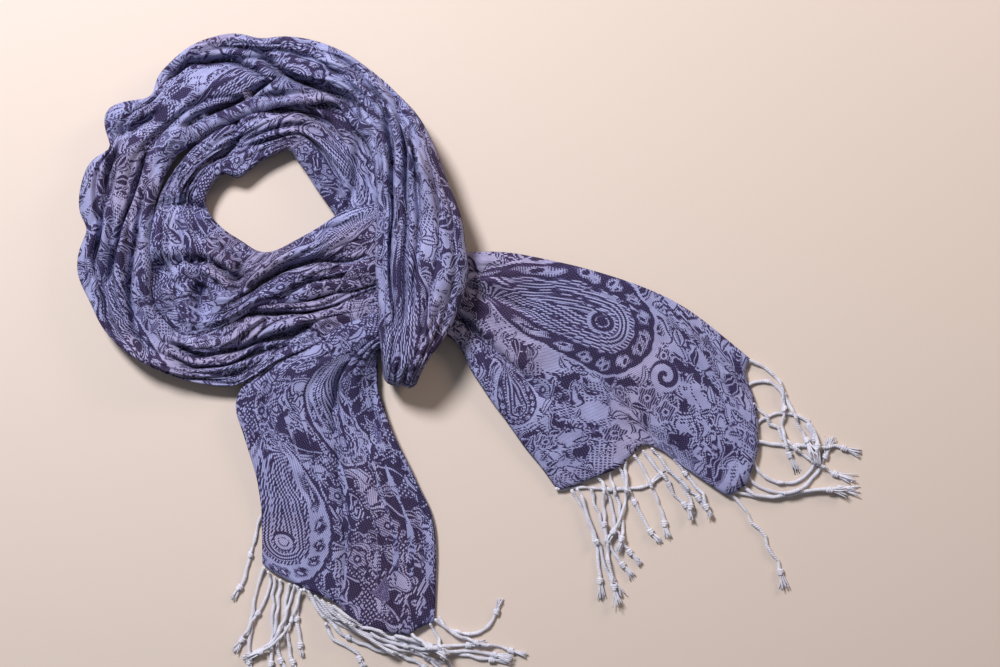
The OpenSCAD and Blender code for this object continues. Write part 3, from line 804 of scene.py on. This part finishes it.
panel.data.materials.append(jacquard("jacquard_face", True))
panel.data.materials.append(jacquard("jacquard_reverse", False))
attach(panel, "root")
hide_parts("right_tail", "tail_strand", "lower_cross_band", "outer_left_wrap", "top_wrap", "over_wrap")
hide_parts("bight_turn", "inner_right_wrap", "inner_left_wrap", "upper_cross_band", "crossing_strand")
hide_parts("lower_tail")

# ---- Fringe cords ---------------------------------------------------------------------------------
# At each hem the warp ends are twisted into cords of two plies, knotted near the end and left to
# brush out in a tuft. They lie where they fell, over and under one another.
ply_radius = 0.78 * mm
ply_offset = 0.62 * mm
ply_pitch = 3.6 * mm
body_step = 0.6 * mm
knot_share = 0.86
coil_points = 30
coil_turns = 2.3
tuft_strands = 16
strand_points = 7
# Places along a cord, in metres, where it kinks and where its yarn is thicker or thinner
kink_places = np.arange(0, 0.13, 0.007)
lump_places = np.arange(0, 0.13, 0.004)

# Cords in order along the hem: start x, y, heading, turn in each half, length, in mm and degrees
right_fringe = [
    (64, -93, 8, -14, 40, 84), (76, -93, -58, -18, -12, 84), (80, -92, -70, 2, 0, 86),
    (90, -91, -74, 4, 26, 74), (95, -82, -58, -22, 46, 74), (100, -92, -90, 6, 12, 86),
    (104, -79, -66, -14, -22, 60), (110, -74, -62, -6, 20, 66), (116, -71, -82, -18, -26, 62),
    (123, -67, -60, -4, -22, 66), (129, -64, -48, -8, 14, 60), (136, -62, -52, 4, -44, 60),
    (142, -68, -60, 20, -8, 50), (152, -70, -46, -8, -22, 50), (194, -96, -46, -12, -14, 82),
    (197, -93, -22, 34, -10, 94), (202, -88, -46, 66, -34, 82), (206, -80, -60, 86, 70, 92),
    (211, -68, -78, 108, 118, 96), (212, -56, -14, 14, -6, 80), (208, -53, 64, -78, -112, 84),
    (212, -28, -54, 14, 22, 96), (204, -18, 42, -112, 12, 84), (209, 4, -12, -86, 44, 98),
]
lower_fringe = [
    (-157, -112, -104, 2, -22, 66), (-154, -151, -114, 18, 14, 84), (-151, -154, -84, -40, 10, 66),
    (-146, -158, -96, 6, -6, 76), (-141, -160, -104, 14, 22, 72), (-135, -163, -106, 22, 16, 70),
    (-131, -164, -98, -20, -46, 70), (-128, -165, -96, 8, 10, 52), (-126, -167, -100, -24, -40, 68),
    (-124, -166, -60, 32, 26, 88), (-121, -169, -68, 36, 26, 86), (-116, -172, -58, 44, -6, 88),
    (-111, -175, -50, 26, 18, 90), (-106, -177, -52, 44, -22, 86), (-102, -179, -42, 24, 10, 92),
    (-97, -184, -56, 40, -4, 88), (-108, -193, -76, 50, -40, 44), (-90, -191, -46, 22, -12, 78),
    (-74, -199, -34, 36, 2, 88), (-56, -201, -16, -4, 26, 88), (-44, -200, -44, 46, -24, 78),
    (-30, -193, -66, 2, 30, 60), (-26, -190, -52, 66, 84, 66), (-23, -188, -58, 48, -10, 72),
]


def laid_path(cord, count):
    """A cord's line on the floor: two arcs of steady turn."""
    start_x, start_y, heading, first_turn, second_turn, long = cord
    t = (np.arange(count - 1) + 0.5) / (count - 1)
    angle = np.radians(heading + first_turn * np.minimum(2 * t, 1) + second_turn * np.maximum(2 * t - 1, 0))
    step = long * mm / (count - 1)
    x = np.r_[0, np.cumsum(np.cos(angle))] * step + start_x * mm + laid_shift[0]
    y = np.r_[0, np.cumsum(np.sin(angle))] * step + start_y * mm + laid_shift[1]
    return np.stack([x, y], 1)


def tube(line, radius, sides):
    """Vertices and faces of a round tube along a line, closed at both ends."""
    ahead = np.gradient(line, axis=0)
    ahead /= np.maximum(np.linalg.norm(ahead, axis=1), 1e-9)[:, None]
    left = np.cross(ahead, (0.03, 0.02, 1.0))
    left /= np.linalg.norm(left, axis=1)[:, None]
    up = np.cross(left, ahead)
    turn = 2 * math.pi * np.arange(sides) / sides
    radius = np.broadcast_to(radius, len(line))[:, None, None]
    ring = left[:, None] * np.cos(turn)[None, :, None] + up[:, None] * np.sin(turn)[None, :, None]
    vertices = (line[:, None] + ring * radius).reshape(-1, 3)
    k = np.arange(sides)
    faces = []
    for i in range(len(line) - 1):
        a, b = i * sides, (i + 1) * sides
        faces += np.stack([a + k, a + (k + 1) % sides, b + (k + 1) % sides, b + k], 1).tolist()
    faces.append(k[::-1].tolist())
    faces.append(((len(line) - 1) * sides + k).tolist())
    return vertices, faces


def twisted_cord(name, line, seed, yarn):
    """Two plies wound round a line, with one or two coiled knots and a brushed tuft at the far end."""
    chance = np.random.default_rng(seed)
    parts = []
    step = np.linalg.norm(np.diff(line, axis=0), axis=1)
    run = np.r_[0, np.cumsum(step)]
    knot_run = run[-1] * knot_share
    body_run = np.arange(0, knot_run, body_step)
    body = np.stack([np.interp(body_run, run, line[:, k]) for k in range(3)], 1)
    kinks = np.interp(body_run, kink_places, chance.normal(0, 0.8 * mm, len(kink_places)))
    body[:, :2] += kinks[:, None] * np.array((line[-1, 1] - line[0, 1], line[0, 0] - line[-1, 0])) / run[-1]
    lumps = 1 + 0.22 * np.interp(body_run, lump_places, chance.normal(0, 1, len(lump_places)))
    ahead = np.gradient(body, axis=0)
    ahead /= np.linalg.norm(ahead, axis=1)[:, None]
    left = np.cross(ahead, (0, 0, 1.0))
    left /= np.linalg.norm(left, axis=1)[:, None]
    up = np.cross(left, ahead)
    start = chance.uniform(0, 2 * math.pi)
    for ply in (0, math.pi):
        turn = (start + ply + 2 * math.pi * body_run / ply_pitch)[:, None]
        wound = body + (left * np.cos(turn) + up * np.sin(turn)) * ply_offset
        parts.append(tube(wound, ply_radius * lumps, 6))

    knot = np.array([np.interp(knot_run, run, line[:, k]) for k in range(3)])
    way, left, up = ahead[-1], left[-1], up[-1]
    coil_turn = np.linspace(0, 2 * math.pi * coil_turns, coil_points)[:, None]
    coil_along = np.linspace(-1.6, 1.8, coil_points)[:, None] * mm
    coil = knot + way * coil_along + (left * np.cos(coil_turn) + up * np.sin(coil_turn)) * 1.5 * mm
    parts.append(tube(coil, 1.1 * mm, 6))

    # More than half of the cords have a second, smaller knot part-way
    if chance.random() < 0.6:
        place = int(len(body) * chance.uniform(0.3, 0.65))
        lump = body[place] + ahead[place] * coil_along * 0.8
        lump = lump + (left * np.cos(coil_turn) + up * np.sin(coil_turn)) * 1.4 * mm
        parts.append(tube(lump, 1.0 * mm, 6))

    tuft_long = (run[-1] - knot_run) + 1.0 * mm
    for _ in range(tuft_strands):
        fray = np.linspace(0, 1, strand_points)[:, None]
        aside, lifted = chance.normal(0, 0.11), chance.normal(0.02, 0.06)
        curl = chance.uniform(-0.12, 0.12)
        away = way * fray + left * (aside * fray + curl * fray**2) + up * lifted * fray
        root = knot + left * chance.uniform(-0.9, 0.9) * mm + up * chance.uniform(-0.7, 0.7) * mm
        strand = root + away * tuft_long * chance.uniform(0.75, 1.12)
        parts.append(tube(strand, np.linspace(0.65, 0.35, strand_points) * mm, 5))

    vertices, faces = [], []
    for part_vertices, part_faces in parts:
        faces += [[k + sum(map(len, vertices)) for k in face] for face in part_faces]
        vertices.append(part_vertices)
    vertices = np.concatenate(vertices)
    vertices[:, 2] = np.maximum(vertices[:, 2], 0)
    mesh = bpy.data.meshes.new(name)
    mesh.from_pydata(vertices.tolist(), [], faces)
    mesh.polygons.foreach_set("use_smooth", np.ones(len(faces), bool))
    mesh.materials.append(yarn)
    mesh.update()
    piece = bpy.data.objects.new(name, mesh)
    bpy.context.collection.objects.link(piece)
    return piece


def cord_yarn():
    """Soft undyed yarn, pale lilac grey, matt, with darker hollows between the plies."""
    yarn = bpy.data.materials.new("cord_yarn")
    yarn.use_nodes = True
    Draft.tree = yarn.node_tree
    nodes, links = yarn.node_tree.nodes, yarn.node_tree.links
    shader = nodes["Principled BSDF"]
    place = nodes.new("ShaderNodeTexCoord")
    fibre = nodes.new("ShaderNodeTexNoise")
    fibre.inputs["Scale"].default_value = 900
    fibre.inputs["Detail"].default_value = 3
    links.new(place.outputs["Object"], fibre.inputs["Vector"])
    shade = nodes.new("ShaderNodeTexNoise")
    shade.inputs["Scale"].default_value = 28
    links.new(place.outputs["Object"], shade.inputs["Vector"])
    tone = Draft(fibre.outputs["Fac"]) * 0.6 + Draft(shade.outputs["Fac"]) * 0.4
    ramp = nodes.new("ShaderNodeValToRGB")
    links.new(tone.socket, ramp.inputs["Fac"])
    ramp.color_ramp.elements[0].position = 0.3
    ramp.color_ramp.elements[0].color = (0.45, 0.43, 0.51, 1)
    ramp.color_ramp.elements[1].position = 0.7
    ramp.color_ramp.elements[1].color = (0.74, 0.73, 0.83, 1)
    links.new(ramp.outputs["Color"], shader.inputs["Base Color"])
    relief = nodes.new("ShaderNodeBump")
    relief.inputs["Strength"].default_value = 0.5
    relief.inputs["Distance"].default_value = 0.0003
    links.new(fibre.outputs["Fac"], relief.inputs["Height"])
    links.new(relief.outputs["Normal"], shader.inputs["Normal"])
    shader.inputs["Roughness"].default_value = 0.9
    shader.inputs["Sheen Weight"].default_value = 0.3
    shader.inputs["Sheen Roughness"].default_value = 0.5
    return yarn


yarn = cord_yarn()
cord_points = 60
cord_radius = 1.5 * mm
hem_height = 3.5 * mm
touching = 1.9 * cord_radius
climb = 1.7 * cord_radius
for side, cords in (("right", right_fringe), ("lower", lower_fringe)):
    laid = []
    for number, cord in enumerate(cords, 1):
        flat_line = laid_path(cord, cord_points)
        base = np.full(cord_points, cord_radius)
        base[: cord_points // 8] = np.linspace(hem_height, cord_radius, cord_points // 8)
        for below in laid:
            gap = np.linalg.norm(flat_line[:, None] - below[None, :, :2], axis=2)
            nearest = gap.argmin(1)
            over = gap.min(1) < touching
            base = np.where(over, np.maximum(base, below[nearest, 2] + climb), base)
        for _ in range(3):
            base[1:-1] = np.maximum(base[1:-1], (base[:-2] + base[2:]) / 2)
        line = np.column_stack([flat_line, base])
        laid.append(line)
        cord_piece = twisted_cord(f"{side}_fringe_cord_{number:02d}", line, 100 * len(side) + number, yarn)
        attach(cord_piece, "root")
        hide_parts(f"{side}_tassel_{number:02d}")
